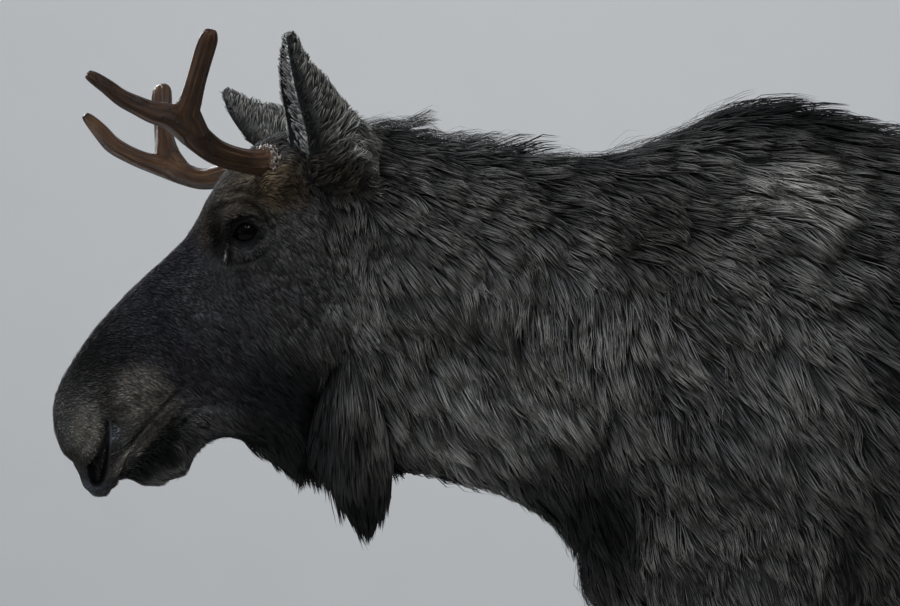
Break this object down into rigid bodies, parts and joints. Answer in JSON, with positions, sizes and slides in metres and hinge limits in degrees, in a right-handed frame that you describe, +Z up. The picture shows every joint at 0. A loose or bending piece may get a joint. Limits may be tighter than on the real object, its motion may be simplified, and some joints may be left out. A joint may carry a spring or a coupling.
{
  "type": "moose",
  "caption": "Young bull moose standing still at life size, with short forked antlers, cupped ears, a hairy throat bell, a maned hump and cloven hooves.",
  "frame": {"origin": "middle of the ground under the animal's bounding box", "axes": "+X from the head towards the tail, so the animal faces -X; +Y to its right; +Z up"},
  "size_m": [2.3944, 0.6584, 1.871],
  "materials": {
    "coat": "dark brown to black winter hair with grey tips",
    "pale_coat": "short pale grey hair",
    "eye": "wet, almost black eye",
    "antler": "dark brown antler bone, ridged, satin",
    "hoof": "dark hoof horn, satin"
  },
  "bodies": {
    "root": {"antler_left_beam": "antler", "antler_left_front_tine": "antler", "antler_left_rear_tine": "antler", "antler_right_beam": "antler", "antler_right_front_tine": "antler", "antler_right_rear_tine": "antler", "bell": "coat", "dewclaw_fore_left_inner": "hoof", "dewclaw_fore_left_outer": "hoof", "dewclaw_fore_right_inner": "hoof", "dewclaw_fore_right_outer": "hoof", "dewclaw_hind_left_inner": "hoof", "dewclaw_hind_left_outer": "hoof", "dewclaw_hind_right_inner": "hoof", "dewclaw_hind_right_outer": "hoof", "ear_left": "pale_coat", "ear_right": "pale_coat", "eye_left": "eye", "eye_right": "eye", "foreleg_left_lower": "pale_coat", "foreleg_left_upper": "coat", "foreleg_right_lower": "pale_coat", "foreleg_right_upper": "coat", "head": "coat", "hindleg_left_lower": "pale_coat", "hindleg_left_upper": "coat", "hindleg_right_lower": "pale_coat", "hindleg_right_upper": "coat", "hoof_fore_left_inner": "hoof", "hoof_fore_left_outer": "hoof", "hoof_fore_right_inner": "hoof", "hoof_fore_right_outer": "hoof", "hoof_hind_left_inner": "hoof", "hoof_hind_left_outer": "hoof", "hoof_hind_right_inner": "hoof", "hoof_hind_right_outer": "hoof", "neck": "coat", "tail": "coat", "torso": "coat"}
  },
  "joints": []
}
